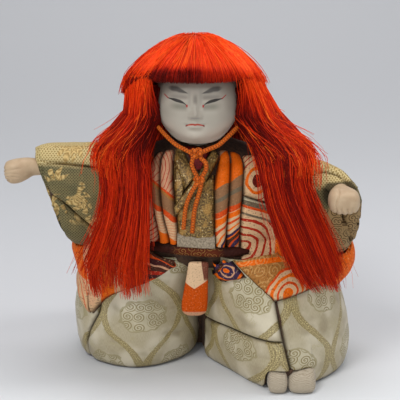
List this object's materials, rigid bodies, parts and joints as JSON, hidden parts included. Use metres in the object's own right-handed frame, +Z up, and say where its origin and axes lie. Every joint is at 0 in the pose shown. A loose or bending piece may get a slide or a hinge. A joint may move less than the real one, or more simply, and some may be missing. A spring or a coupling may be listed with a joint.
{
  "type": "kimekomi doll",
  "caption": "Kimekomi figure of a lion dancer: moulded core with brocade tucked into its seams, white face, long combed red hair, chin cord and split-toe sock.",
  "frame": {"origin": "on the flat underside of the moulded core, behind the cleft between the trouser legs, at the doll's middle", "axes": "+Z up, -Y the way the doll faces, +X to the viewer's right"},
  "size_m": [0.1988, 0.1306, 0.1883],
  "materials": {
    "moulded_paste": "matte",
    "hakama_brocade": "woven",
    "red_silk": "satin",
    "gold_brocade": "woven with metallic thread",
    "white_silk": "satin",
    "haori_collar_cloth": "woven",
    "haori_brocade": "woven",
    "belt_brocade": "woven",
    "sleeve_brocade": "woven with metallic thread",
    "tabi_crepe": "crepe",
    "shell_white": "matte",
    "red_hair": "combed fibre",
    "hand_white": "matte",
    "cord_silk": "braided"
  },
  "bodies": {
    "root": {"body_core": "moulded_paste", "hakama_right_front": "hakama_brocade", "hakama_right_side": "hakama_brocade", "hakama_right_back": "hakama_brocade", "hakama_left_upper": "hakama_brocade", "hakama_left_lower": "hakama_brocade", "hakama_left_side": "hakama_brocade", "hakama_left_back": "hakama_brocade", "inner_collar": "red_silk", "kimono_front_right": "gold_brocade", "kimono_front_left": "gold_brocade", "kimono_collar_right": "gold_brocade", "kimono_collar_left": "gold_brocade", "waist_sash": "white_silk", "haori_collar_right_outer": "haori_collar_cloth", "haori_collar_right_inner": "haori_collar_cloth", "haori_collar_left_inner": "haori_collar_cloth", "haori_collar_left_outer": "haori_collar_cloth", "haori_body_right": "haori_brocade", "haori_body_left": "haori_brocade", "haori_body_left_lower": "haori_brocade", "haori_back": "haori_brocade", "haori_skirt_right": "haori_brocade", "haori_hem_right": "haori_brocade", "haori_skirt_back": "haori_brocade", "haori_hem_left": "haori_brocade", "haori_skirt_left_inner": "haori_brocade", "haori_skirt_left_outer": "haori_brocade", "front_tab": "haori_brocade", "belt": "belt_brocade", "right_sleeve_top": "sleeve_brocade", "right_sleeve_front": "sleeve_brocade", "right_sleeve_lower": "sleeve_brocade", "right_sleeve_back": "sleeve_brocade", "right_sleeve_edge": "sleeve_brocade", "left_sleeve_top": "sleeve_brocade", "left_sleeve_front": "sleeve_brocade", "left_sleeve_lower": "sleeve_brocade", "left_sleeve_cuff": "sleeve_brocade", "left_sleeve_back": "sleeve_brocade", "left_sleeve_edge": "sleeve_brocade", "tabi_big_toe": "tabi_crepe", "tabi_toes": "tabi_crepe", "head": "shell_white", "hair_crown": "red_hair", "hair_right_fall": "red_hair", "hair_left_fall": "red_hair", "hair_back_fall": "red_hair", "right_hand": "hand_white", "left_hand": "hand_white", "chin_cord_right": "cord_silk", "chin_cord_left": "cord_silk", "cord_loop_right": "cord_silk", "cord_loop_left": "cord_silk", "cord_tail_right": "cord_silk", "cord_tail_left": "cord_silk", "cord_knot_upper": "cord_silk", "cord_knot_lower": "cord_silk"}
  },
  "joints": []
}
